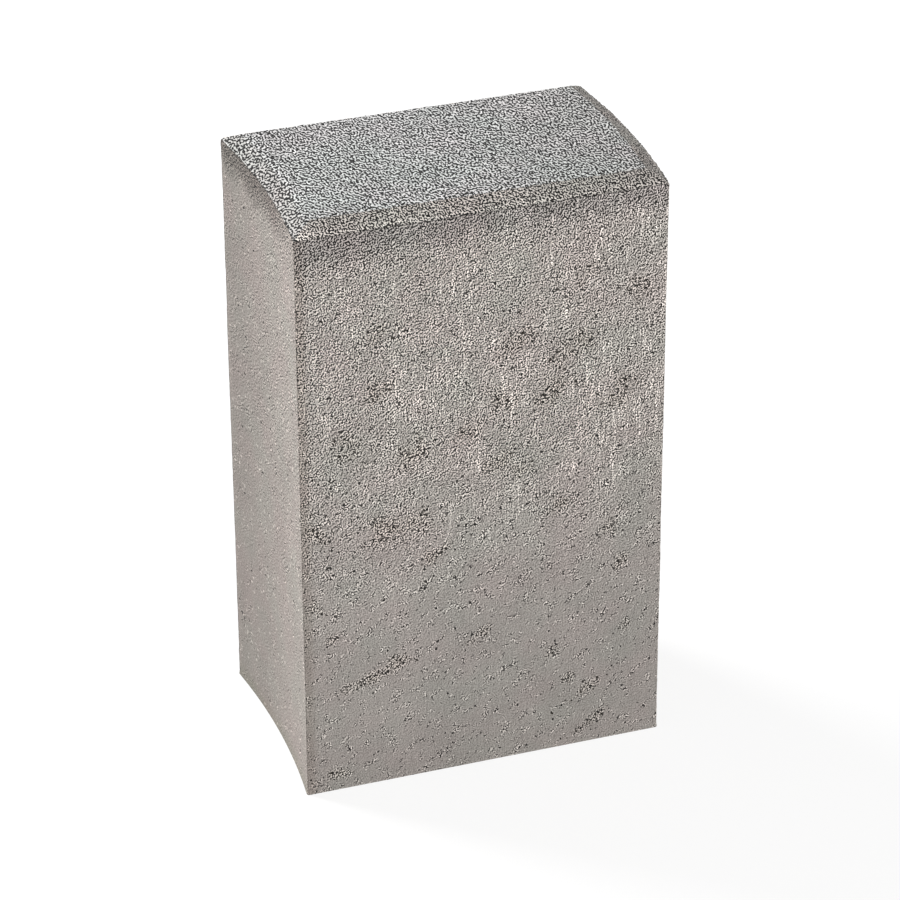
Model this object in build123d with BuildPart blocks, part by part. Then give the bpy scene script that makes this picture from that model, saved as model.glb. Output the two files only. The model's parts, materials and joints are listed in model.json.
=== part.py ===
"""Concrete palisade post with mating ends.

The post is one block of concrete, pressed in a mould with straight upright walls. Its front and rear faces are flat.
One end is hollowed and the other is rounded to the same radius, so that posts in a row nest into each other, and the
row can turn a little at each joint. A shallow chamfer runs all round the top, and the edge of the foot is left sharp.

Millimetres. +Z is up, the front face looks towards -Y, the hollow end towards -X and the rounded end towards +X. The
origin is at the middle of the foot.
"""

import os
from math import sqrt

from build123d import *

# Driving dimensions of the block
height = 400.0  # from the foot to the top
pitch = 240.0  # width of the flat front and rear faces, and the step from post to post in a row
depth = 155.0  # from the front face to the rear face
end_bow = 5.0  # how far the hollow end is hollowed, and how far the rounded end stands out

# Chamfer round the top
chamfer_width = 12.5  # seen from above
chamfer_depth = 7.0  # down the faces

# The mould's upright corners are a little blunt
corner_radius = 1.5

# Both ends are arcs of one radius, whose centres lie one pitch apart
end_radius = (depth**2 / 4 + end_bow**2) / (2 * end_bow)
hollow_centre_x = (end_bow - pitch) / 2 - end_radius
rounded_centre_x = hollow_centre_x + pitch

rim_height = height - chamfer_depth

with BuildPart() as palisade_post:
    # The chamfered cap runs from the full plan at the rim to the same plan drawn in on all sides at the top
    for level, inset in ((rim_height, 0), (height, chamfer_width)):
        face_y = depth / 2 - inset
        hollow_radius = end_radius + inset
        rounded_radius = end_radius - inset
        hollow_corner_x = hollow_centre_x + sqrt(hollow_radius**2 - face_y**2)
        rounded_corner_x = rounded_centre_x + sqrt(rounded_radius**2 - face_y**2)
        with BuildSketch(Plane.XY.offset(level)) as plan:
            with BuildLine():
                Line((hollow_corner_x, -face_y), (rounded_corner_x, -face_y))
                ThreePointArc(
                    (rounded_corner_x, -face_y),
                    (rounded_centre_x + rounded_radius, 0),
                    (rounded_corner_x, face_y),
                )
                Line((rounded_corner_x, face_y), (hollow_corner_x, face_y))
                ThreePointArc(
                    (hollow_corner_x, face_y),
                    (hollow_centre_x + hollow_radius, 0),
                    (hollow_corner_x, -face_y),
                )
            make_face()
            fillet(plan.vertices(), corner_radius)
    loft(ruled=True)

    # The walls go straight down from the rim to the foot
    rim_plan = palisade_post.faces().sort_by(Axis.Z)[0]
    extrude(rim_plan, amount=rim_height)

palisade_post.part.label = "palisade_post"

os.makedirs("parts", exist_ok=True)
export_step(palisade_post.part, "parts/palisade_post.step")

litres = palisade_post.part.volume / 1e6
print(f"palisade_post: {litres:.2f} litres, ends of {end_radius:.1f} mm radius")
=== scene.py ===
# %% [markdown]
# # A concrete palisade post
# A palisade post is a short block of concrete that stands in a row of its own kind along a bed or a path.
# It is made by pressing damp concrete into a steel box and pushing it straight out again, and that is what
# its surfaces show: an open, sandy top where the press left it, faces with fine lines where they slid along
# the steel, and small voids where the damp mix didn't quite close up.
#
# The block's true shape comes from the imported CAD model. This file loads that model as its frame, builds a
# block with the same faces out of Blender's own tools, roughens it, cuts the voids and gives it a finish
# made of nodes.

import json
from math import cos, pi, radians, sin
from types import SimpleNamespace

import bmesh
import bpy
import numpy as np
from mathutils import Matrix, Quaternion, Vector

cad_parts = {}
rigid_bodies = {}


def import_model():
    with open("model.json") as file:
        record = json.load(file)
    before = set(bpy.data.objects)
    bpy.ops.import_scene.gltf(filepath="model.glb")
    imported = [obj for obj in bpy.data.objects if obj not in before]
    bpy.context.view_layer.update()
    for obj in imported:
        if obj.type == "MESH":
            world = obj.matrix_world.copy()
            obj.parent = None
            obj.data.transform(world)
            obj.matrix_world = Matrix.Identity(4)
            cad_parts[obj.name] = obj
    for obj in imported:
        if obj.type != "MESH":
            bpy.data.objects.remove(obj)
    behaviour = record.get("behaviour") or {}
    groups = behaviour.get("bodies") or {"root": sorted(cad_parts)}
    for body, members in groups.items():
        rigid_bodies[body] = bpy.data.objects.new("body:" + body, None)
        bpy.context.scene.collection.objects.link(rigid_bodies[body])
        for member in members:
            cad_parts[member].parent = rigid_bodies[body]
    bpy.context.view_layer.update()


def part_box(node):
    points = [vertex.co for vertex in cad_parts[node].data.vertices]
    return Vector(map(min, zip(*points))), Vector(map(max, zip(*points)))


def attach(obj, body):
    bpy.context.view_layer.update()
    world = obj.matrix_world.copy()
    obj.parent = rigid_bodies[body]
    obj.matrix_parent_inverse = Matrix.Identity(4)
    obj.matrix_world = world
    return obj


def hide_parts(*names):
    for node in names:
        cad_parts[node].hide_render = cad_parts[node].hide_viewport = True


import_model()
low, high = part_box("palisade_post")
print("CAD box in mm:", [round(v * 1000, 1) for v in low], [round(v * 1000, 1) for v in high])

# %% [markdown]
# ## Sizes
# The post is drawn in the CAD source from a few sizes, and the same ones are written here in metres. Its
# two ends are arcs of one radius, one hollow and one rounded, so that each post nests into the next one in
# the row.

# %% Sizes in metres
mm = 0.001
height = 400 * mm
pitch = 240 * mm
depth = 155 * mm
end_bow = 5 * mm
chamfer_width = 12.5 * mm
chamfer_depth = 7 * mm
corner_radius = 1.5 * mm
rim_height = height - chamfer_depth
middle_x = -end_bow / 2
dice = np.random.default_rng(11)
print("rim at", round(rim_height / mm, 1), "mm, straight faces", round(pitch / mm), "mm wide")

# %% [markdown]
# ## Camera
# The photograph looks down on the post from its front left, through a long lens, so upright edges stay
# nearly parallel. The camera is placed by the point it looks at, a direction and a distance, and it leans
# by less than a degree, as a hand-held camera does.

# %% Camera
aim = Vector((1.6, 0, 188.3)) * mm
camera_distance = 2.556
camera_turn = radians(18.9)
camera_rise = radians(29.27)
camera_lean = radians(-0.32)

level_part = cos(camera_rise)
towards_camera = Vector((-sin(camera_turn) * level_part, -cos(camera_turn) * level_part, sin(camera_rise)))
bpy.ops.object.camera_add(location=aim + towards_camera * camera_distance)
camera = bpy.context.object
camera.rotation_mode = "QUATERNION"
lean = Quaternion((0, 0, 1), camera_lean)
camera.rotation_quaternion = (-towards_camera).to_track_quat("-Z", "Y") @ lean
camera.data.lens = 160
camera.data.clip_end = 60
bpy.context.scene.camera = camera
print("camera at", [round(v, 3) for v in camera.location])

# %% [markdown]
# ## Light
# In the photograph the hollow end and the top are the lightest and the front is a tone darker, so the main
# lamp stands behind the post on the left, low enough to rake across the sandy top. A wide lamp in front
# fills the front face. A lamp's level is written as the brightness that it gives a white card facing it,
# and its power follows from that.


# %% Lamps
def soft_lamp(name, direction, distance, side, level):
    """A square lamp facing the post. A level of 1 shows a card that faces it at the card's own colour."""
    towards_lamp = Vector(direction).normalized()
    bpy.ops.object.light_add(type="AREA", location=aim + towards_lamp * distance)
    lamp = bpy.context.object
    lamp.name = name
    lamp.rotation_mode = "QUATERNION"
    lamp.rotation_quaternion = towards_lamp.to_track_quat("Z", "Y")
    lamp.data.shape = "SQUARE"
    lamp.data.size = side
    lamp.data.energy = level * (pi * distance) ** 2
    print(name, "has", round(lamp.data.energy), "watts")


soft_lamp("main_lamp", (-0.56, 0.70, 0.46), 3.0, 1.4, 1.25)
soft_lamp("front_lamp", (0.35, -0.88, 0.40), 3.4, 2.4, 0.78)

# %% [markdown]
# ## Helpers for nodes
# The floor, the world and every finish are made of nodes, which by hand means adding boxes and dragging
# links between them. Two helpers keep that short in a script: one adds any node and fills or links its
# inputs, and the other is for Math nodes, of which there are many.


# %% Node helpers
def add(tree, kind, inputs=None, **settings):
    """Adds a node, sets its settings, and fills its inputs with values or links them to sockets."""
    node = tree.nodes.new(kind)
    for name, value in settings.items():
        setattr(node, name, value)
    for name, value in (inputs or {}).items():
        if isinstance(value, bpy.types.NodeSocket):
            tree.links.new(value, node.inputs[name])
        else:
            node.inputs[name].default_value = value
    return node


def sum_up(tree, operation, *values, clamp=False):
    """The result of a Math node."""
    inputs = dict(enumerate(values))
    return add(tree, "ShaderNodeMath", inputs, operation=operation, use_clamp=clamp).outputs[0]


# %% [markdown]
# ## Background
# The floor and the world look white to the camera, so the post stands on a plain white ground as in the
# photograph. To every other ray they are a plain pale grey, so they light the post no more than a studio's
# floor would. The camera's white floor is half paint and half glow: the paint keeps the post's soft shadow.

# %% Floor and world
floor_drop = 0.2 * mm
bpy.ops.mesh.primitive_plane_add(size=30, location=(0, 0, -floor_drop))
floor = bpy.context.object
floor.name = "floor"
floor_finish = bpy.data.materials.new("pale_floor")
floor_finish.use_nodes = True
floor.data.materials.append(floor_finish)


def seen_directly(tree):
    """1 for a ray from the camera, a reflection or glass, and 0 for the rays that only light things."""
    rays = add(tree, "ShaderNodeLightPath").outputs
    looked_at = sum_up(tree, "MAXIMUM", rays["Is Camera Ray"], rays["Is Glossy Ray"])
    return sum_up(tree, "MAXIMUM", looked_at, rays["Is Transmission Ray"])


tree = floor_finish.node_tree
tree.nodes.clear()
grey_paint = add(tree, "ShaderNodeBsdfDiffuse", {"Color": (0.5, 0.5, 0.5, 1)})
white_paint = add(tree, "ShaderNodeBsdfDiffuse", {"Color": (0.28, 0.28, 0.28, 1)})
glow = add(tree, "ShaderNodeEmission", {"Color": (1, 1, 1, 1), "Strength": 0.78})
white_floor = add(tree, "ShaderNodeAddShader", {0: white_paint.outputs[0], 1: glow.outputs[0]})
either = {0: seen_directly(tree), 1: grey_paint.outputs[0], 2: white_floor.outputs[0]}
mixed = add(tree, "ShaderNodeMixShader", either)
add(tree, "ShaderNodeOutputMaterial", {"Surface": mixed.outputs[0]})

world = bpy.data.worlds.new("studio")
bpy.context.scene.world = world
world.use_nodes = True
tree = world.node_tree
tree.nodes.clear()
dim_sky = add(tree, "ShaderNodeBackground", {"Color": (0.30, 0.30, 0.30, 1)})
white_sky = add(tree, "ShaderNodeBackground", {"Color": (1, 1, 1, 1)})
either = {0: seen_directly(tree), 1: dim_sky.outputs[0], 2: white_sky.outputs[0]}
mixed = add(tree, "ShaderNodeMixShader", either)
add(tree, "ShaderNodeOutputWorld", {"Surface": mixed.outputs[0]})
bpy.context.scene.view_settings.view_transform = "Standard"

# %% [markdown]
# ## Helpers for picking
# Most of the modelling below is done as by hand: go to edit mode, pick some faces, edges or corners, and
# run a tool on them. Picking by hand is a click. In a script it is a test on each element's place or
# direction.


# %% Picking in edit mode
def pick(piece, kind, test):
    """In edit mode, selects just the elements of that kind that pass the test."""
    bpy.ops.mesh.select_mode(type=kind)
    bpy.ops.mesh.select_all(action="DESELECT")
    mesh = bmesh.from_edit_mesh(piece.data)
    elements = {"VERT": mesh.verts, "EDGE": mesh.edges, "FACE": mesh.faces}[kind]
    picked = 0
    for element in elements:
        if test(element):
            element.select_set(True)
            picked += 1
    mesh.select_flush_mode()
    bmesh.update_edit_mesh(piece.data)
    return picked


def runs_along(edge, axis):
    """True if the edge lies along that axis, 0 for X, 1 for Y and 2 for Z."""
    step = edge.verts[1].co - edge.verts[0].co
    return abs(step[axis]) > 0.999 * step.length


# %% [markdown]
# ## The block
# The block starts as a cube of the post's width and depth that reaches up to the rim, where the chamfer
# starts. The top face is then extruded by the chamfer's depth and drawn in on all sides, which makes the
# four sloping strips in one go.

# %% The block and its chamfer
bpy.ops.object.select_all(action="DESELECT")
bpy.ops.mesh.primitive_cube_add(
    size=1, location=(middle_x, 0, rim_height / 2), scale=(pitch, depth, rim_height)
)
post = bpy.context.object
post.name = post.data.name = "dressed_post"
bpy.ops.object.transform_apply(location=True, rotation=True, scale=True)

bpy.ops.object.mode_set(mode="EDIT")
pick(post, "FACE", lambda face: face.normal.z > 0.5)
bpy.ops.mesh.extrude_region_move(TRANSFORM_OT_translate={"value": (0, 0, chamfer_depth)})
bpy.ops.transform.resize(
    value=(1 - 2 * chamfer_width / pitch, 1 - 2 * chamfer_width / depth, 1),
    center_override=(middle_x, 0, height),
)
bpy.ops.object.mode_set(mode="OBJECT")
print("block:", len(post.data.polygons), "faces")

# %% [markdown]
# ## A grid to work on
# Bowed ends, rough edges and sandy grain all need corners to move. Subdividing the edges of one direction
# at a time gives even squares on every face, whatever its proportions, which a plain subdivide of the whole
# block would not.

# %% First grid, about 6 mm
strips_across = 40
strips_deep = 26
strips_high = 66
strips_on_slope = 2
tiny = 0.1 * mm  # places nearer to each other than this count as one


def climbs_slope(edge):
    """True if the edge runs up a sloping strip, all the way from the rim to the top."""
    rise = abs(edge.verts[0].co.z - edge.verts[1].co.z)
    return abs(rise - chamfer_depth) < tiny


bpy.ops.object.mode_set(mode="EDIT")
for axis, strips in ((0, strips_across), (1, strips_deep), (2, strips_high)):
    pick(post, "EDGE", lambda edge: runs_along(edge, axis))
    bpy.ops.mesh.subdivide(number_cuts=strips - 1)
pick(post, "EDGE", climbs_slope)
bpy.ops.mesh.subdivide(number_cuts=strips_on_slope - 1)
bpy.ops.object.mode_set(mode="OBJECT")
print("first grid:", len(post.data.polygons), "faces")

# %% [markdown]
# ## The hollow end and the rounded end
# Both ends bow the same way by the same amount, so one move makes both: the corners on the middle line are
# pulled along X with proportional editing, and the pull fades to nothing at the front and rear faces. The
# inverse square falloff gives a parabola, which for so shallow a bow lies within a few hundredths of a
# millimetre of the arc.

# %% Bowing the ends
bpy.ops.object.mode_set(mode="EDIT")
pick(post, "VERT", lambda corner: abs(corner.co.y) < tiny)
bpy.ops.transform.translate(
    value=(end_bow, 0, 0),
    use_proportional_edit=True,
    proportional_edit_falloff="INVERSE_SQUARE",
    proportional_size=depth / 2,
)
bpy.ops.object.mode_set(mode="OBJECT")
ends = [corner.co.x / mm for corner in post.data.vertices if abs(corner.co.y) < tiny]
print("ends on the middle line: x from", round(min(ends), 2), "to", round(max(ends), 2), "mm")

# %% [markdown]
# ## Blunt upright corners
# The steel box has slightly rounded corners, so the post's four upright edges are a little blunt, and so
# are the mitres where the sloping strips meet. A bevel of two segments does it.

# %% Blunting the corners
front_y = -depth / 2
rear_y = depth / 2


def on_corner(point):
    """True for a point on one of the four upright edges, or on the mitre above it."""
    drawn_in = max(0.0, point.z - rim_height) / chamfer_depth * chamfer_width
    side = pitch / 2 - drawn_in
    bow = end_bow * (1 - (point.y / (depth / 2)) ** 2)
    off_side = abs(abs(point.x - bow - middle_x) - side)
    off_face = abs(abs(point.y) - (depth / 2 - drawn_in))
    return off_side < 2 * tiny and off_face < 2 * tiny


bpy.ops.object.mode_set(mode="EDIT")
pick(post, "EDGE", lambda edge: all(on_corner(corner.co) for corner in edge.verts))
bpy.ops.mesh.bevel(offset=corner_radius, segments=2, affect="EDGES", clamp_overlap=True)
bpy.ops.object.mode_set(mode="OBJECT")
print("blunted:", len(post.data.polygons), "faces")

# %% [markdown]
# ## Finer squares where they count
# The front and the rear, which carry most of the voids, are divided once more, to squares of 3 mm, and so
# is a strip on each end beside the upright edges. The sandy top, its chamfer and a band below it are
# divided to 1.5 mm. The plain middle of each end and the foot stay coarse. Finer grain than this is left to
# the material's bump.

# %% Finer grid
edge_strip = 7 * mm


def near_upright_edge(face):
    """True for a face of an end that lies beside an upright edge."""
    return abs(face.calc_center_median().y) > depth / 2 - edge_strip


def near_rim(face):
    """True for the top, the chamfer and the band below it."""
    return face.calc_center_median().z > rim_height - edge_strip


bpy.ops.object.mode_set(mode="EDIT")
pick(post, "FACE", lambda face: face.normal.z > -0.5 and (near_upright_edge(face) or near_rim(face)))
bpy.ops.mesh.subdivide(number_cuts=1)
pick(post, "FACE", near_rim)
bpy.ops.mesh.subdivide(number_cuts=1)
bpy.ops.object.mode_set(mode="OBJECT")
print("finer grid:", len(post.data.polygons), "faces")

# %% [markdown]
# ## Which finish goes where
# One casting, but not one look: the front and rear slid along the steel, the ends slid along its curved
# sides, the top and its slope at the hollow end are open and sandy, the other three slopes were pressed to
# a darker face by the stamp's rim, and the voids are dark, partly with raw mix and partly with painted
# shade.
# Each gets a material slot of its own here.
# The slots are filled with nodes further down.

# %% Material slots
finishes = {}
for finish_name in ("drawn_face", "drawn_end", "open_top", "pressed_slope", "void_wall"):
    finishes[finish_name] = bpy.data.materials.new(finish_name)
    post.data.materials.append(finishes[finish_name])
slot_of = {finish_name: place for place, finish_name in enumerate(finishes)}

for face in post.data.polygons:
    if face.normal.z > 0.2:
        to_hollow_end = -face.normal.x > abs(face.normal.y)
        pressed = face.normal.z < 0.95 and not to_hollow_end
        face.material_index = slot_of["pressed_slope" if pressed else "open_top"]
    elif abs(face.normal.y) > 0.8:
        face.material_index = slot_of["drawn_face"]
    else:
        face.material_index = slot_of["drawn_end"]
for finish_name, place in slot_of.items():
    print(finish_name, sum(face.material_index == place for face in post.data.polygons), "faces")

# %% [markdown]
# ## Sharp edges and weights
# Concrete edges crumble a little, and only the top is truly rough. Weight groups say where each kind of
# roughness acts: on the walls and top, on the open top alone, or along the edges. The edges are found by
# their angle, marked sharp so that shading breaks there, and the ring of squares beside them gets a smaller
# weight.

# %% Weight groups
foot_band = 1 * mm
beside_edge = 0.35


def weigh(piece, group_name, weight):
    """In edit mode, gives the selected corners that weight in a group, which is made if it isn't there."""
    group = piece.vertex_groups.get(group_name) or piece.vertex_groups.new(name=group_name)
    piece.vertex_groups.active_index = group.index
    bpy.context.scene.tool_settings.vertex_group_weight = weight
    bpy.ops.object.vertex_group_assign()


bpy.ops.object.mode_set(mode="EDIT")
bpy.ops.mesh.select_mode(type="EDGE")
bpy.ops.mesh.select_all(action="DESELECT")
bpy.ops.mesh.edges_select_sharp(sharpness=radians(20))
bpy.ops.mesh.mark_sharp()
bpy.ops.object.mode_set(mode="OBJECT")
on_edge = set()
for edge in post.data.edges:
    if edge.select and all(post.data.vertices[corner].co.z > foot_band for corner in edge.vertices):
        on_edge.update(edge.vertices)
smooth_places = [corner.co.copy() for corner in post.data.vertices]

bpy.ops.object.mode_set(mode="EDIT")
pick(post, "VERT", lambda corner: corner.co.z > foot_band)
weigh(post, "walls_and_top", 1.0)
pick(post, "VERT", lambda corner: corner.co.z > rim_height - tiny)
weigh(post, "open_grain", 1.0)
pick(post, "VERT", lambda corner: corner.index in on_edge)
bpy.ops.mesh.select_more()
weigh(post, "edges", beside_edge)
pick(post, "VERT", lambda corner: corner.co.z < foot_band)
bpy.ops.object.vertex_group_remove_from()
pick(post, "VERT", lambda corner: corner.index in on_edge)
weigh(post, "edges", 1.0)
bpy.ops.object.mode_set(mode="OBJECT")
print("corners on sharp edges:", len(on_edge))

# %% [markdown]
# ## Rough skin
# Displace modifiers with cloud textures do the roughening, each through its weight group. Their middle
# level is 1, so they only ever sink the surface. The whole block is then made a thousandth slimmer, so that
# no lump beside a corner reaches past the CAD size.


# %% Rough skin
def sink(name, group_name, lump_size, deepest, contrast=1.0):
    """Sinks the weighted corners by up to the deepest value, in a cloudy pattern of that lump size."""
    pattern = bpy.data.textures.new(name, "CLOUDS")
    pattern.noise_scale = lump_size
    pattern.noise_depth = 2
    pattern.contrast = contrast
    skin = post.modifiers.new(name, "DISPLACE")
    skin.texture = pattern
    skin.texture_coords = "LOCAL"
    skin.vertex_group = group_name
    skin.mid_level = 1.0
    skin.strength = deepest
    bpy.ops.object.modifier_apply(modifier=name)


sink("slack_faces", "walls_and_top", 45 * mm, 0.5 * mm)
sink("sandy_top", "open_grain", 2.2 * mm, 0.5 * mm, contrast=1.5)
sink("crumbled_edges", "edges", 2.2 * mm, 0.7 * mm, contrast=1.6)

slimmer = 0.999
bpy.ops.object.mode_set(mode="EDIT")
bpy.ops.mesh.select_all(action="SELECT")
bpy.ops.transform.resize(value=(slimmer, slimmer, 1), center_override=(0, 0, 0))
bpy.ops.object.mode_set(mode="OBJECT")
sunk = [(new.co - old).length / mm for new, old in zip(post.data.vertices, smooth_places)]
print("sunk by", round(float(np.mean(sunk)), 2), "mm on average and", round(max(sunk), 2), "mm at most")

# %% [markdown]
# ## Voids
# Where the damp mix was dry it left honeycomb: short slanting streaks of small open voids, with single
# voids strewn between them. Dark dots painted on a flat face would look flat from the side, so these voids
# are cut. One lumpy pebble is modelled in a finer and a coarser mesh, copied to every place with its own
# turn and size, and all the copies are taken out of the block at once with a Boolean modifier. No two
# pebbles touch, which keeps the cut clean.

# %% Two pebbles
def lumpy_pebble(subdivisions):
    """The corners and the triangles of a lumpy pebble of half-width 1."""
    bpy.ops.object.select_all(action="DESELECT")
    bpy.ops.mesh.primitive_ico_sphere_add(subdivisions=subdivisions, radius=1)
    pebble = bpy.context.object
    pattern = bpy.data.textures.new("pebble_lumps", "CLOUDS")
    pattern.noise_scale = 0.9
    lumps = pebble.modifiers.new("lumps", "DISPLACE")
    lumps.texture = pattern
    lumps.texture_coords = "LOCAL"
    lumps.strength = 1.1
    bpy.ops.object.modifier_apply(modifier="lumps")
    corners = np.array([corner.co for corner in pebble.data.vertices])
    triangles = np.array([face.vertices for face in pebble.data.polygons])
    bpy.data.objects.remove(pebble)
    return corners / np.abs(corners).max(), triangles


large_pebble = lumpy_pebble(2)
small_pebble = lumpy_pebble(1)
small_size = 0.85
print("pebbles:", len(large_pebble[1]), "and", len(small_pebble[1]), "triangles")

# %% [markdown]
# ### Where the voids lie
# The streaks on the front follow the photograph. Each is written as a place on the face, in millimetres
# from the middle and from the foot, a length and a width, a rise in degrees and a number of voids. The
# other faces aren't seen, so theirs are drawn by lot. Single voids are smaller, and most of them lie high
# up.

# %% Where the voids lie
# Each streak: distance from the middle of the face, height, length, width, rise in degrees, number of voids
front_streaks = [
    (-62, 186, 30, 14, -30, 90),
    (-44, 190, 16, 22, 30, 60),
    (-70, 180, 14, 8, 20, 18),
    (8, 219, 26, 14, 22, 90),
    (24, 212, 20, 10, 35, 40),
    (48, 180, 20, 9, 30, 34),
    (-30, 163, 22, 9, 35, 36),
    (-76, 78, 46, 8, 20, 90),
    (-58, 88, 16, 8, 25, 30),
    (-2, 98, 24, 6, 35, 34),
    (70, 41, 34, 5, 33, 70),
    (58, 52, 10, 6, 60, 16),
    (70, 14, 36, 5, 33, 80),
    (-96, 12, 16, 7, 5, 34),
    (-112, 8, 8, 6, 0, 10),
    (45, 74, 16, 8, 45, 22),
    (92, 132, 22, 6, 50, 26),
    (86, 160, 26, 12, 45, 30),
    (96, 84, 14, 8, 50, 20),
    (-66, 322, 26, 16, 20, 40),
    (20, 300, 34, 18, 25, 60),
    (58, 292, 38, 22, 40, 80),
    (-68, 284, 26, 14, 30, 46),
    (88, 252, 24, 20, 30, 60),
    (44, 262, 30, 16, 30, 50),
    (14, 262, 26, 14, -40, 46),
    (-112, 190, 10, 40, 60, 46),
    (-110, 138, 10, 22, 45, 30),
    (-100, 112, 20, 6, 30, 24),
    (66, 340, 36, 10, 25, 30),
    (-46, 236, 30, 20, 30, 60),
    (-10, 244, 22, 14, 30, 40),
    (-90, 250, 20, 26, 30, 40),
    (100, 322, 20, 24, 40, 46),
]
print(sum(streak[5] for streak in front_streaks), "voids in", len(front_streaks), "streaks")


# %% Places on the faces
def bowed_x(side, y):
    """Where the surface of an end lies at that depth. Side is -1 for the hollow end and 1 for the other."""
    return middle_x + side * pitch / 2 + end_bow * (1 - (y / (depth / 2)) ** 2)


def face_frame(name, across, up):
    """The point on a face, and the directions across it, to the right seen from outside, and out of it."""
    if name == "front":
        return Vector((middle_x + across, front_y, up)), Vector((1, 0, 0)), Vector((0, -1, 0))
    if name == "rear":
        return Vector((middle_x - across, rear_y, up)), Vector((-1, 0, 0)), Vector((0, 1, 0))
    side = -1 if name == "hollow" else 1
    y = side * across
    return Vector((bowed_x(side, y), y, up)), Vector((0, side, 0)), Vector((side, 0, 0))


# %% Strewing the voids
lowest, highest = 4, 389
strewn_top = 388
thickening = 0.45  # the smaller, the more of the strewn voids lie high up
face_half, end_half = 117, 74
clearance, least_gap = 1.15, 0.1


def void_size():
    """Half the width of a void in millimetres: mostly small, a few large."""
    smallest, largest = ((0.45, 0.7), (0.7, 1.0), (1.0, 1.6))[dice.choice(3, p=(0.48, 0.4, 0.12))]
    return dice.uniform(smallest, largest)


def strew(name, streaks, strewn, half_width):
    """Places for voids on a face: in streaks, and strewn singly and more thickly higher up."""
    found = []
    for across, up, length, width, rise, count in streaks:
        turn = radians(rise)
        for _ in range(count):
            along, aside = dice.normal(0, length / 4), dice.normal(0, width / 4)
            x = across + along * cos(turn) - aside * sin(turn)
            z = up + along * sin(turn) + aside * cos(turn)
            found.append((x, z, void_size(), turn + dice.normal(0, 0.5)))
    for _ in range(strewn):
        x, z = dice.uniform(-half_width, half_width), strewn_top * dice.uniform(0, 1) ** thickening
        found.append((x, z, dice.uniform(0.38, 0.62), dice.uniform(0, pi)))
    kept = np.empty((0, 3))
    places = []
    for x, z, size, turn in found:
        gaps = np.hypot(kept[:, 0] - x, kept[:, 1] - z) - clearance * (kept[:, 2] + size)
        if abs(x) < half_width and lowest < z < highest and not (gaps < least_gap).any():
            kept = np.vstack((kept, (x, z, size)))
            places.append((name, x * mm, z * mm, size * mm, turn))
    return places


def loose_streaks(number, half_width):
    """Streaks at random, in the order of the list above, for the faces that the photograph doesn't show."""
    return [
        (
            dice.uniform(-half_width, half_width) * 0.85,
            dice.uniform(12, 350),
            dice.uniform(16, 36),
            dice.uniform(6, 18),
            dice.uniform(15, 40),
            int(dice.uniform(20, 60)),
        )
        for _ in range(number)
    ]


voids = strew("front", front_streaks, 330, face_half)
voids += strew("rear", loose_streaks(10, face_half), 150, face_half)
voids += strew("hollow", [], 70, end_half)
voids += strew("rounded", loose_streaks(2, end_half), 60, end_half)
print(len(voids), "voids in all")

# %% [markdown]
# ### Cutting the voids
# Each pebble is centred on the rough surface or a little below it, laid along its streak and flattened
# across it. The copies are gathered into one mesh first, because a Boolean with one large cutter is far
# quicker than a thousand small ones. The cut faces keep the cutter's material, which is how the voids get
# their own finish.

# %% Gathering the pebbles
deepest_centre = 0.3  # in half-widths of the pebble
bpy.context.view_layer.update()
points, faces, corner_count = [], [], 0
for name, across, up, size, turn in voids:
    corners, triangles = small_pebble if size < small_size * mm else large_pebble
    place, sideways, outward = face_frame(name, across, up)
    place = post.closest_point_on_mesh(place)[1]
    tumble = np.array(Quaternion(dice.normal(size=4)).normalized().to_matrix())
    lying = np.array(Matrix.Rotation(turn, 3, "Y"))
    stretch = np.array((dice.uniform(0.9, 1.4), dice.uniform(0.8, 1.2), dice.uniform(0.6, 0.95))) * size
    local = (corners @ tumble.T) * stretch @ lying.T
    axes = np.array((sideways, -outward, Vector((0, 0, 1))))
    faces.append(triangles + corner_count)
    points.append(local @ axes + np.array(place - outward * size * dice.uniform(0.0, deepest_centre)))
    corner_count += len(corners)
cutter_mesh = bpy.data.meshes.new("pebbles")
cutter_mesh.from_pydata(np.concatenate(points).tolist(), [], np.concatenate(faces).tolist())
for material in finishes.values():
    cutter_mesh.materials.append(material)
cutter_mesh.polygons.foreach_set("material_index", [slot_of["void_wall"]] * len(cutter_mesh.polygons))
cutters = bpy.data.objects.new("pebbles", cutter_mesh)
bpy.context.collection.objects.link(cutters)
print("cutter:", len(cutter_mesh.polygons), "triangles")

# %% Cutting
bpy.ops.object.select_all(action="DESELECT")
post.select_set(True)
bpy.context.view_layer.objects.active = post
cut = post.modifiers.new("voids", "BOOLEAN")
cut.operation = "DIFFERENCE"
cut.solver = "MANIFOLD"
cut.object = cutters
bpy.ops.object.modifier_apply(modifier="voids")
bpy.data.objects.remove(cutters)
bpy.ops.object.shade_smooth_by_angle(angle=radians(35), keep_sharp_edges=True)
post.data.calc_loop_triangles()
void_faces = sum(face.material_index == slot_of["void_wall"] for face in post.data.polygons)
print(len(post.data.loop_triangles), "triangles,", void_faces, "faces inside voids")

# %% [markdown]
# ## How close to a void
# The fine pits of honeycomb are too small to cut, so the material draws them, and it has to know where
# honeycomb is. Each corner of the mesh gets a number that says how many voids are near, kept as an
# attribute that the nodes read.

# %% Honeycomb attribute
reach = 4 * mm
lone, crowded = 1.0, 6.0
corner_places = np.empty(len(post.data.vertices) * 3)
post.data.vertices.foreach_get("co", corner_places)
corner_places = corner_places.reshape(-1, 3)
crowding = np.zeros(len(corner_places))
for name, across, up, size, _ in voids:
    spot, _, _ = face_frame(name, across, up)
    near = np.abs(corner_places[:, 2] - spot.z) < 3 * reach
    distance = np.linalg.norm(corner_places[near] - np.array(spot), axis=1)
    crowding[near] += np.exp(-((distance / reach) ** 2)) * size / mm
honeycomb = post.data.attributes.new("honeycomb", "FLOAT", "POINT")
share = np.clip((crowding - lone) / (crowded - lone), 0, 1)
honeycomb.data.foreach_set("value", share)
print("honeycomb over", round(100 * float(np.mean(share > 0.3))), "% of the corners")

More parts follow.
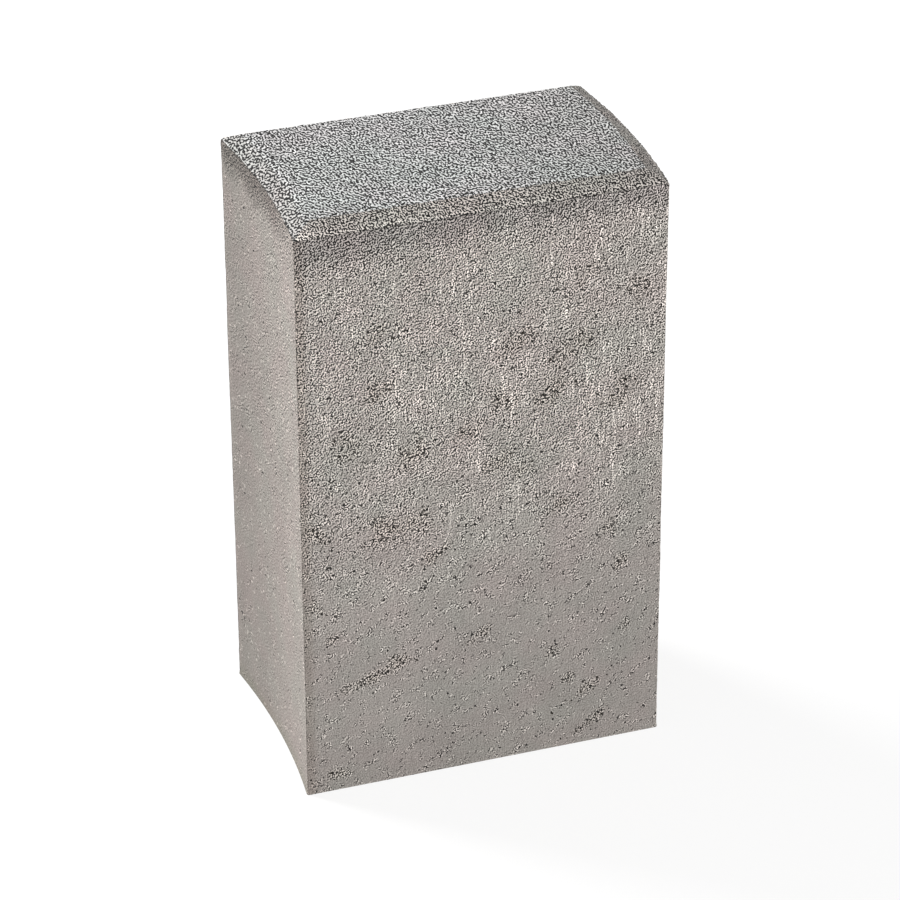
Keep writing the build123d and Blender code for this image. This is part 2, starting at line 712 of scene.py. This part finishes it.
# %% [markdown]
# ## Node groups
# The five finishes share their effects, so each effect is a node group with named inputs: sand grain,
# clumps, pits, drag lines, cloudy tone and the dark band under the rim. A group puts out tones and masks,
# and each material mixes them in its own measure.


# %% Group helpers
def new_group(name, inputs, outputs):
    """A shader node group and its inner sockets. Inputs are (name, start value), and a vector has none."""
    tree = bpy.data.node_groups.new(name, "ShaderNodeTree")
    for label, value in inputs:
        kind = "NodeSocketVector" if value is None else "NodeSocketFloat"
        socket = tree.interface.new_socket(label, in_out="INPUT", socket_type=kind)
        if value is not None:
            socket.default_value = value
    for label in outputs:
        tree.interface.new_socket(label, in_out="OUTPUT", socket_type="NodeSocketFloat")
    return tree, tree.nodes.new("NodeGroupInput").outputs, tree.nodes.new("NodeGroupOutput").inputs


def use_group(tree, group, inputs):
    """Places a node group in a material, and gives its outputs."""
    return add(tree, "ShaderNodeGroup", inputs, node_tree=group).outputs


def spread(tree, value, low_in, high_in, low_out=0.0, high_out=1.0, smooth=True):
    """Maps a value from one range to another, held within the new one."""
    ranges = {"From Min": low_in, "From Max": high_in, "To Min": low_out, "To Max": high_out}
    kind = "SMOOTHSTEP" if smooth else "LINEAR"
    return add(tree, "ShaderNodeMapRange", {"Value": value, **ranges}, interpolation_type=kind).outputs[0]


def noise(tree, place, scale, detail=2.0, roughness=0.5):
    """A noise from 0 to 1, about 0.5."""
    inputs = {"Vector": place, "Scale": scale, "Detail": detail, "Roughness": roughness}
    return add(tree, "ShaderNodeTexNoise", inputs).outputs["Fac"]


def stretched(tree, place, factors, turn=(0, 0, 0)):
    """The place, turned and scaled apart in each direction, for patterns longer one way than the other."""
    return add(tree, "ShaderNodeMapping", {"Vector": place, "Rotation": turn, "Scale": factors}).outputs[0]


def combined(tree, operation, first, second):
    """The result of a Vector Math node, for places and for colours."""
    return add(tree, "ShaderNodeVectorMath", {0: first, 1: second}, operation=operation).outputs[0]


def along_axes(tree, place):
    """The place's X, Y and Z as single values."""
    return add(tree, "ShaderNodeSeparateXYZ", {"Vector": place}).outputs


# %% [markdown]
# ### Sand grain
# From two metres away the grains are hardly wider than a pixel, and a common noise shows its large blotches
# more than its fine grain. Gabor noise has waves of nearly one length, so the surface looks even from
# further away and gritty from near. A second noise makes the waves strong in some spots and faint in
# others, because even waves would look like leather, and a third one, minus itself a little further along,
# adds short strokes of grit. All are drawn in the plane of each face, which takes a fraction of the time
# that they need in three dimensions. Pale grains stand up between dark gaps, so one value serves as tone
# and as height.

# %% Sand grain
sand_grain, given, result = new_group(
    "sand_grain", (("Flat Place", None), ("Grains per Metre", 640.0)), ("Tone",)
)
waves_per_patch = 1.3
spots_per_grain = 0.8
grits_per_grain = 1.4
grit_step = 0.45 * mm
contrast = 3.0

patches_per_metre = sum_up(sand_grain, "DIVIDE", given["Grains per Metre"], waves_per_patch)
wave_settings = {
    "Vector": given["Flat Place"],
    "Scale": patches_per_metre,
    "Frequency": waves_per_patch,
    "Anisotropy": 0.0,
}
waves = add(sand_grain, "ShaderNodeTexGabor", wave_settings, gabor_type="2D").outputs["Value"]
spots_per_metre = sum_up(sand_grain, "MULTIPLY", given["Grains per Metre"], spots_per_grain)
spots = noise(sand_grain, given["Flat Place"], spots_per_metre, 1.0, 0.6)
strong = spread(sand_grain, spots, 0.36, 0.64, 0.1, 2.1)
swing = sum_up(sand_grain, "MULTIPLY", sum_up(sand_grain, "SUBTRACT", waves, 0.5), strong)

grits_per_metre = sum_up(sand_grain, "MULTIPLY", given["Grains per Metre"], grits_per_grain)
beside = combined(sand_grain, "ADD", given["Flat Place"], (grit_step, grit_step, 0))
here = noise(sand_grain, given["Flat Place"], grits_per_metre, 0.0)
there = noise(sand_grain, beside, grits_per_metre, 0.0)
grit = sum_up(sand_grain, "SUBTRACT", here, there)
swing = sum_up(sand_grain, "MULTIPLY_ADD", grit, 0.5, swing)
sand_grain.links.new(sum_up(sand_grain, "MULTIPLY_ADD", swing, contrast, 0.5, clamp=True), result["Tone"])

# %% [markdown]
# ### Clumps
# The lower part of a face is smoother than the upper part, with a patchy border between them. Everywhere
# coarse sand and pits lie in small slanting clumps, with calm skin between them. This group says where the
# upper part is, and how busy the skin is: 1 in a clump, and less between clumps, the more so the calmer the
# finish is. Low down the clumps are sparser.

# %% Clumps
clumps, given, result = new_group(
    "clumps", (("Place", None), ("Flat Place", None), ("Calm", 0.5)), ("Upper Part", "Busy")
)
clump_slant = radians(-33)
border_low, border_high, border_patches = 140 * mm, 350 * mm, 160 * mm

patchy = noise(clumps, stretched(clumps, given["Place"], (1, 1, 1.6)), 30.0, 3.0, 0.6)
up = along_axes(clumps, given["Place"])["Z"]
reach_up = sum_up(clumps, "MULTIPLY_ADD", patchy, border_patches, up)
upper = spread(clumps, reach_up, border_low, border_high)
clumps.links.new(upper, result["Upper Part"])

slanting = {"Vector": given["Flat Place"], "Rotation": (0, 0, clump_slant), "Scale": (1.5, 1, 1)}
slanting = add(clumps, "ShaderNodeMapping", slanting, vector_type="TEXTURE").outputs[0]
sparser = spread(clumps, upper, 0.0, 1.0, 0.05, 0.0, smooth=False)
speckles = sum_up(clumps, "SUBTRACT", noise(clumps, slanting, 170.0, 4.0, 0.85), sparser)
calmer = spread(clumps, upper, 0.0, 1.0, 1.15, 1.0, smooth=False)
between = sum_up(clumps, "SUBTRACT", 1.0, sum_up(clumps, "MULTIPLY", given["Calm"], calmer))
clumps.links.new(spread(clumps, speckles, 0.47, 0.57, between, 1.0), result["Busy"])

# %% [markdown]
# ### Pits
# Pits are the cells of a flat Voronoi texture, one in each cell whose random number is under the wanted
# share. The place is pushed about by noise first, so that no pit is round. Around each pit runs a paler
# rim, where the skin of fine paste has worn from the sand.

# %% Pits
pits, given, result = new_group(
    "pits", (("Flat Place", None), ("Pits per Metre", 420.0), ("Share", 0.2)), ("Mask", "Pale Rim")
)
pushes_per_metre = 1100.0
strongest_push = 2 * mm

push_settings = {"Vector": given["Flat Place"], "Scale": pushes_per_metre, "Detail": 1.0}
push = add(pits, "ShaderNodeTexNoise", push_settings).outputs["Color"]
push = {0: combined(pits, "SUBTRACT", push, (0.5, 0.5, 0.5)), "Scale": strongest_push}
push = add(pits, "ShaderNodeVectorMath", push, operation="SCALE").outputs[0]
pushed = combined(pits, "ADD", given["Flat Place"], push)
cell_settings = {"Vector": pushed, "Scale": given["Pits per Metre"]}
cells = add(pits, "ShaderNodeTexVoronoi", cell_settings, voronoi_dimensions="2D").outputs
chances = add(pits, "ShaderNodeSeparateColor", {"Color": cells["Color"]}).outputs
chosen = sum_up(pits, "LESS_THAN", chances["Green"], given["Share"])
radius = spread(pits, chances["Blue"], 0.0, 1.0, 0.16, 0.44, smooth=False)
nearness = sum_up(pits, "SUBTRACT", radius, cells["Distance"])
core = spread(pits, nearness, -0.03, 0.08)
wide = spread(pits, nearness, -0.26, -0.03)
pits.links.new(sum_up(pits, "MULTIPLY", core, chosen), result["Mask"])
ring = sum_up(pits, "SUBTRACT", wide, core, clamp=True)
pits.links.new(sum_up(pits, "MULTIPLY", ring, chosen), result["Pale Rim"])

# %% [markdown]
# ### Drag lines
# As the block slides out of the steel, sand grains scratch fine upright lines in its faces. Noise that is
# stretched some 17 times along Z gives such lines. Taking the same noise a little further along from it
# cancels the broad bands, and only the palest of the lines that remain are kept. They show in patches, and
# most on the upper right of a face.

# %% Drag lines
drag_lines, given, result = new_group(
    "drag_lines", (("Place", None), ("Lines per Metre", 1200.0)), ("Tone", "Strength")
)
left = middle_x - pitch / 2
right = middle_x + pitch / 2
line_step = 0.6 * mm

upright = stretched(drag_lines, given["Place"], (1, 1, 0.06))
beside = combined(drag_lines, "ADD", upright, (line_step, line_step, 0))
here = noise(drag_lines, upright, given["Lines per Metre"], 0.0)
there = noise(drag_lines, beside, given["Lines per Metre"], 0.0)
off = sum_up(drag_lines, "SUBTRACT", here, there)
drag_lines.links.new(spread(drag_lines, off, 0.1, 0.24, 0.5, 1.0), result["Tone"])

sides = along_axes(drag_lines, given["Place"])
patchy = noise(drag_lines, stretched(drag_lines, given["Place"], (1, 1, 0.4)), 45.0, 2.0, 0.6)
strength = spread(drag_lines, patchy, 0.4, 0.6, 0.1, 1.0)
higher = spread(drag_lines, sides["Z"], 110 * mm, 250 * mm)
to_right = spread(drag_lines, sides["X"], left, right, 0.5, 1.0, smooth=False)
for mask in (higher, to_right):
    strength = sum_up(drag_lines, "MULTIPLY", strength, mask)
drag_lines.links.new(strength, result["Strength"])

# %% [markdown]
# ### Cloudy tone
# Damp concrete dries unevenly, so its tone drifts over a few centimetres, and so does its hue, between a
# pinkish and a greenish grey.

# %% Cloudy tone
clouds, given, result = new_group("clouds", (("Place", None), ("Clouds per Metre", 26.0)), ("Tone", "Hue"))
tone_noise = noise(clouds, given["Place"], given["Clouds per Metre"], 3.0, 0.55)
clouds.links.new(spread(clouds, tone_noise, 0.3, 0.7, smooth=False), result["Tone"])
elsewhere = combined(clouds, "ADD", given["Place"], (3, 5, 7))
hue_noise = noise(clouds, elsewhere, given["Clouds per Metre"], 2.0, 0.5)
clouds.links.new(spread(clouds, hue_noise, 0.35, 0.65, smooth=False), result["Hue"])

# %% [markdown]
# ### The band under the rim
# Just under the rim all faces have a darker, coarser band that fades out downwards. A coarse noise varies
# its width, and a fine one frays its lower edge. At the rim itself runs a thin dark line of painted shade
# under the rim's edge.

# %% Rim band
rim_band, given, result = new_group("rim_band", (("Place", None), ("Width", 12 * mm)), ("Mask", "Line"))
below_rim = sum_up(rim_band, "SUBTRACT", rim_height, along_axes(rim_band, given["Place"])["Z"])
broad = noise(rim_band, given["Place"], 35.0, 2.0, 0.5)
broad = spread(rim_band, broad, 0.3, 0.7, 0.8, 1.2, smooth=False)
ragged = noise(rim_band, given["Place"], 420.0, 2.0, 0.7)
ragged = spread(rim_band, ragged, 0.3, 0.7, -0.2, 0.2, smooth=False)
share = sum_up(rim_band, "DIVIDE", below_rim, sum_up(rim_band, "MULTIPLY", given["Width"], broad))
share = sum_up(rim_band, "ADD", share, ragged)
rim_band.links.new(spread(rim_band, share, 0.25, 1.45, 1.0, 0.0), result["Mask"])
# The Line output marks a painted shade line just under the rim's edge.
rim_band.links.new(spread(rim_band, below_rim, 0.5 * mm, 1.5 * mm, 1.0, 0.0), result["Line"])

# %% [markdown]
# ## The finishes
# One function makes all five finishes from the shared groups, because they are one material in five states.
# What differs is in its arguments: base colour, how strong the grain, lines, pits and band are, and how
# rough it feels. Small helpers mix the colours, each with one or two nodes.


# %% Mixing helpers
def tint(tree, base, factor, other):
    """Mixes two colours by a factor, and gives the colour socket."""
    node = tree.nodes.new("ShaderNodeMix")
    node.data_type = "RGBA"
    for place, value in ((0, factor), (6, base), (7, other)):
        if isinstance(value, bpy.types.NodeSocket):
            tree.links.new(value, node.inputs[place])
        else:
            node.inputs[place].default_value = value
    return node.outputs[2]


def dim(tree, base, factor):
    """Multiplies a colour by a value."""
    return add(tree, "ShaderNodeVectorMath", {0: base, "Scale": factor}, operation="SCALE").outputs[0]


def shade(tree, base, tone, at_zero, at_one):
    """Multiplies a colour by a value that runs from one number to another with the tone."""
    return dim(tree, base, spread(tree, tone, 0.0, 1.0, at_zero, at_one, smooth=False))


def ripple(tree, base, tone, strength, where, brightest=2.0, darkest=0.04):
    """Lightens and darkens a colour about its own value by a tone, more or less strongly in each place."""
    off = sum_up(tree, "MULTIPLY", sum_up(tree, "SUBTRACT", tone, 0.5), where)
    factor = sum_up(tree, "MULTIPLY_ADD", off, 2 * strength, 1.0)
    factor = sum_up(tree, "MINIMUM", sum_up(tree, "MAXIMUM", factor, darkest), brightest)
    return dim(tree, base, factor)


def wash(tree, base, mask, tone):
    """Multiplies a colour by another one where the mask is 1."""
    return combined(tree, "MULTIPLY", base, tint(tree, (1, 1, 1, 1), mask, (*tone, 1)))


# %% [markdown]
# ### What makes up a finish
# Four parts of a finish are worked out apart: how strongly the sand shows, how many pits there are, the
# colour of the plain skin under both, and the bump. Near a void the first three change, as in real
# honeycomb.

# %% Parts of a finish
sand_near_void = 1.1
pits_near_void = 2
pits_at_foot = 1.7


def coarse_sand(tree, near_void, clump, low_grain):
    """How strongly the sand shows: most on the upper part of a face, in clumps and near voids."""
    coarse = spread(tree, clump["Upper Part"], 0.0, 1.0, low_grain, 1.0, smooth=False)
    coarse = sum_up(tree, "MULTIPLY", coarse, clump["Busy"])
    return sum_up(tree, "MAXIMUM", coarse, sum_up(tree, "MULTIPLY", near_void, sand_near_void))


def share_of_pits(tree, near_void, clump, pit_share):
    """The share of cells that hold a pit: largest low on a face, in clumps and near voids."""
    most = spread(tree, clump["Upper Part"], 0.0, 1.0, pits_at_foot * pit_share, pit_share, smooth=False)
    share = sum_up(tree, "MULTIPLY", sum_up(tree, "MULTIPLY", clump["Busy"], clump["Busy"]), most)
    return sum_up(tree, "MULTIPLY_ADD", near_void, pits_near_void * pit_share, share)


def plain_skin(tree, near_void, drift, colour, cloud):
    """The colour between the grains. It drifts in hue and in tone, and is darker and browner near voids."""
    pinker = tuple(part * tone for part, tone in zip(colour, (1.01, 0.99, 0.99)))
    greener = tuple(part * tone for part, tone in zip(colour, (0.96, 1.0, 0.98)))
    paint = tint(tree, (*pinker, 1), drift["Hue"], (*greener, 1))
    paint = shade(tree, paint, drift["Tone"], 1 - cloud, 1 + cloud)
    return wash(tree, paint, near_void, (0.87, 0.845, 0.815))


def bumpy(tree, sand, coarse, relief, scratches, lines, hole):
    """The shading normal of a skin where sand stands up, drag lines do so a little, and pits sink."""
    line_height, pit_depth = 0.3 * lines, 0.6
    heights = sum_up(tree, "MULTIPLY", sand["Tone"], sum_up(tree, "MULTIPLY", coarse, relief))
    heights = sum_up(tree, "MULTIPLY_ADD", scratches["Tone"], line_height, heights)
    heights = sum_up(tree, "MULTIPLY_ADD", hole["Mask"], -pit_depth, heights)
    return add(tree, "ShaderNodeBump", {"Height": heights, "Distance": mm, "Strength": 1.0}).outputs[0]


# %% [markdown]
# ### Building a finish
# The patterns are drawn flat, so each finish names the plane that its faces lie in, and the place is turned
# so that its first two values run in that plane. Sand, pits and lines then change both the colour and the
# height, and the height goes to the shader through a bump node.

# %% Building a finish
flat_turns = {"front": (radians(90), 0, 0), "end": (0, radians(90), 0), "top": (0, 0, 0)}


def finish(
    name, colour, plane, grain, stretch=(1, 1, 1), grains=640, low_grain=1.0, calm=0.0, lines=0.0,
    pit_share=0.0, band_widths=(12 * mm, 12 * mm), band_grain=0.0, cloud=0.06, relief=0.5, brightest=2.0,
):
    """Fills a material with the shared effects, and gives what extras need, such as its shader and colour.

    Grain is how strongly the sand shows, low_grain how much of that is left at the foot, calm how much of it
    is missing between the clumps, and band_grain its least strength in the band under the rim. Brightest is
    the most that a grain may lighten the skin, lines the strength of the drag lines, cloud that of the drift
    in tone, and relief the height of the sand in millimetres. The band has a width at each side.
    """
    material = finishes[name]
    material.use_nodes = True
    tree = material.node_tree
    tree.nodes.clear()
    place = add(tree, "ShaderNodeTexCoord").outputs["Object"]
    sides = along_axes(tree, place)
    near_void = add(tree, "ShaderNodeAttribute", attribute_name="honeycomb").outputs["Fac"]
    flat = stretched(tree, place, stretch, flat_turns[plane])
    band_width = spread(tree, sides["X"], left, right, *band_widths, smooth=False)

    sand = use_group(tree, sand_grain, {"Flat Place": flat, "Grains per Metre": grains})
    clump = use_group(tree, clumps, {"Place": place, "Flat Place": flat, "Calm": calm})
    drift = use_group(tree, clouds, {"Place": place})
    scratches = use_group(tree, drag_lines, {"Place": place})
    under_rim = use_group(tree, rim_band, {"Place": place, "Width": band_width})
    share = share_of_pits(tree, near_void, clump, pit_share)
    hole = use_group(tree, pits, {"Flat Place": flat, "Share": share})

    coarse = coarse_sand(tree, near_void, clump, low_grain)
    coarse = sum_up(tree, "MAXIMUM", coarse, sum_up(tree, "MULTIPLY", under_rim["Mask"], band_grain))
    if plane == "end":
        towards_rear = spread(tree, sides["Y"], front_y, rear_y, 1.35, 0.8)
        coarse = sum_up(tree, "MULTIPLY", coarse, towards_rear)

    paint = plain_skin(tree, near_void, drift, colour, cloud)
    paint = ripple(tree, paint, sand["Tone"], grain, coarse, brightest)
    paint = ripple(tree, paint, scratches["Tone"], lines, scratches["Strength"])
    paint = shade(tree, paint, hole["Pale Rim"], 1.0, 1.7)
    # Pits are painted dark: partly darker paste, and partly painted shade in holes too small to cut.
    paint = shade(tree, paint, hole["Mask"], 1.0, 0.08)

    bump = bumpy(tree, sand, coarse, relief, scratches, lines, hole)
    feel = spread(tree, sand["Tone"], 0.0, 1.0, 0.84, 0.97, smooth=False)
    skin = add(tree, "ShaderNodeBsdfPrincipled", {"Base Color": paint, "Roughness": feel, "Normal": bump})
    skin.inputs["Specular IOR Level"].default_value = 0.3
    add(tree, "ShaderNodeOutputMaterial", {"Surface": skin.outputs[0]})
    print(name, "is made of", len(tree.nodes), "nodes")
    return SimpleNamespace(tree=tree, place=place, sides=sides, rim=under_rim, skin=skin, paint=paint)


def repaint(made, paint):
    """Puts a changed colour on the shader of a finish."""
    made.tree.links.new(paint, made.skin.inputs["Base Color"])


# %% [markdown]
# ### Front and rear
# The upright faces are coarse at the top and smoother lower down. Beside their left edge runs a slightly
# darker and redder strip, where the paste ran along the corner of the steel. They are a little darker
# towards the foot and towards the right.

# %% Front and rear
front = finish(
    "drawn_face", (0.362, 0.33, 0.309), "front", grain=3.9, stretch=(1, 1, 0.88), grains=690,
    low_grain=0.47, calm=0.75, lines=0.9, pit_share=0.38, band_widths=(23 * mm, 16 * mm), band_grain=2.4,
    relief=0.2, brightest=2.3,
)
tree, across, up = front.tree, front.sides["X"], front.sides["Z"]
band_here = sum_up(tree, "MULTIPLY", front.rim["Mask"], spread(tree, across, left, right, 0.8, 0.78))
paint = wash(tree, front.paint, band_here, (0.61, 0.61, 0.63))
corner_strip = spread(tree, across, left + 3 * mm, left + 10 * mm, 1.0, 0.0)
paint = wash(tree, paint, corner_strip, (0.85, 0.82, 0.80))
paint = shade(tree, paint, spread(tree, up, 10 * mm, 180 * mm, 1.0, 0.0), 1.0, 0.95)
paint = shade(tree, paint, spread(tree, across, left, right, smooth=False), 1.0, 0.945)
# The thin line just under the rim is painted shade.
repaint(front, shade(tree, paint, front.rim["Line"], 1.0, 0.45))

# %% [markdown]
# ### Both ends
# The ends slid along polished steel, so they are smooth. Their paler front and darker rear are painted light
# and shade of the main lamp across the bowed end. Under the rim they have a dark band. The foot of both is
# darker and a little green, where the damp block stood on its board.

# %% Both ends
end = finish(
    "drawn_end", (0.357, 0.319, 0.295), "end", grain=0.9, stretch=(1, 0.6, 1), low_grain=0.75, calm=0.6,
    pit_share=0.1, band_widths=(18 * mm, 18 * mm), band_grain=1.8, relief=0.1,
)
tree, deep = end.tree, end.sides["Y"]
front_part = spread(tree, deep, 0.0, front_y)
shaded_rear = spread(tree, deep, -35 * mm, rear_y)
band_here = sum_up(tree, "MULTIPLY", end.rim["Mask"], spread(tree, front_part, 0.0, 1.0, 1.0, 0.35))
paint = wash(tree, end.paint, band_here, (0.51, 0.5, 0.495))
# Painted light and shade: paler towards the front edge and darker towards the rear, as the main lamp falls
# across the bowed end.
paint = shade(tree, paint, front_part, 1.0, 1.07)
paint = shade(tree, paint, shaded_rear, 1.0, 0.87)
ragged = noise(tree, end.place, 60.0, 3.0, 0.6)
ragged = sum_up(tree, "MULTIPLY_ADD", ragged, 16 * mm, end.sides["Z"])
foot = spread(tree, ragged, 6 * mm, 24 * mm, 1.0, 0.0)
paint = wash(tree, paint, foot, (0.89, 0.915, 0.865))
pale_edge = spread(tree, deep, front_y + 6 * mm, front_y + 1.5 * mm)
paint = shade(tree, paint, pale_edge, 1.0, 1.12)
rear_edge = spread(tree, deep, rear_y - 2.5 * mm, rear_y - 1 * mm)
paint = shade(tree, paint, rear_edge, 1.0, 0.5)
# The thin line just under the rim is painted shade.
paint = shade(tree, paint, end.rim["Line"], 1.0, 0.3)

# Pale flecks, where a grain of quartz lies in the skin
fleck_place = stretched(tree, end.place, (1, 0.6, 1.1), flat_turns["end"])
flecks = use_group(tree, pits, {"Flat Place": fleck_place, "Pits per Metre": 450.0, "Share": 0.1})
repaint(end, shade(tree, paint, flecks["Mask"], 1.0, 1.8))

# %% [markdown]
# ### The open top
# The open top is the coarsest finish and nearly neutral in hue. Its slope at the hollow end is a little
# darker and warmer, and so is its right half.

# %% The open top
top = finish(
    "open_top", (0.23, 0.228, 0.228), "top", grain=8.5, stretch=(1, 0.58, 1), grains=530, pit_share=0.1,
    relief=0.45, brightest=3.6,
)
on_slope = spread(top.tree, top.sides["Z"], height - 3 * mm, height - 1 * mm, 1.0, 0.0)
paint = wash(top.tree, top.paint, on_slope, (0.84, 0.82, 0.80))
to_right = spread(top.tree, top.sides["X"], middle_x, right, smooth=False)
repaint(top, wash(top.tree, paint, to_right, (0.9, 0.89, 0.88)))

# %% [markdown]
# ### Pressed slopes and voids
# The pressed slopes are as coarse as the top and darker to the eye. The dark line along the top is painted
# shade and the pale one along the rim a painted highlight. The pale patch near the left corner is a painted
# highlight where the worn corner catches the light, and the darkening to the right is painted shade where
# the slopes turn from the main lamp. The voids are dark, partly with raw mix and partly with painted shade.

# %% Pressed slopes and voids
slope = finish(
    "pressed_slope", (0.22, 0.2035, 0.191), "top", grain=9.0, grains=600, pit_share=0.12, relief=0.45,
    brightest=3.8,
)
tree, across, up = slope.tree, slope.sides["X"], slope.sides["Z"]
# A painted shade line along the top edge, and a painted highlight along the rim.
top_shade_line = spread(tree, up, height - 1.3 * mm, height - 0.7 * mm)
above = spread(tree, up, rim_height + 0.1 * mm, rim_height + 0.5 * mm)
below = spread(tree, up, rim_height + 0.9 * mm, rim_height + 1.3 * mm, 1.0, 0.0)
rim_highlight = sum_up(tree, "MULTIPLY", above, below)
# A painted highlight where the worn left corner catches the light.
corner_highlight = spread(tree, across, left + 7 * mm, left + 17 * mm, 1.0, 0.0)
to_right = spread(tree, across, middle_x, right, smooth=False)
paint = shade(tree, slope.paint, top_shade_line, 1.0, 0.62)
paint = shade(tree, paint, rim_highlight, 1.0, 1.25)
paint = shade(tree, paint, corner_highlight, 1.0, 1.45)
# Painted shade: darker to the right, where the slopes turn from the main lamp.
repaint(slope, shade(tree, paint, to_right, 1.0, 0.81))
# The voids' dark colour is partly raw mix and partly painted shade of their hollows.
finish("void_wall", (0.07, 0.062, 0.054), "front", grain=0.4, cloud=0.0)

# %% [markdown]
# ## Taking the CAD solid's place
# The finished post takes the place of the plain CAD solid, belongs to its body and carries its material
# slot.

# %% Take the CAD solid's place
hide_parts("palisade_post")
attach(post, "root")
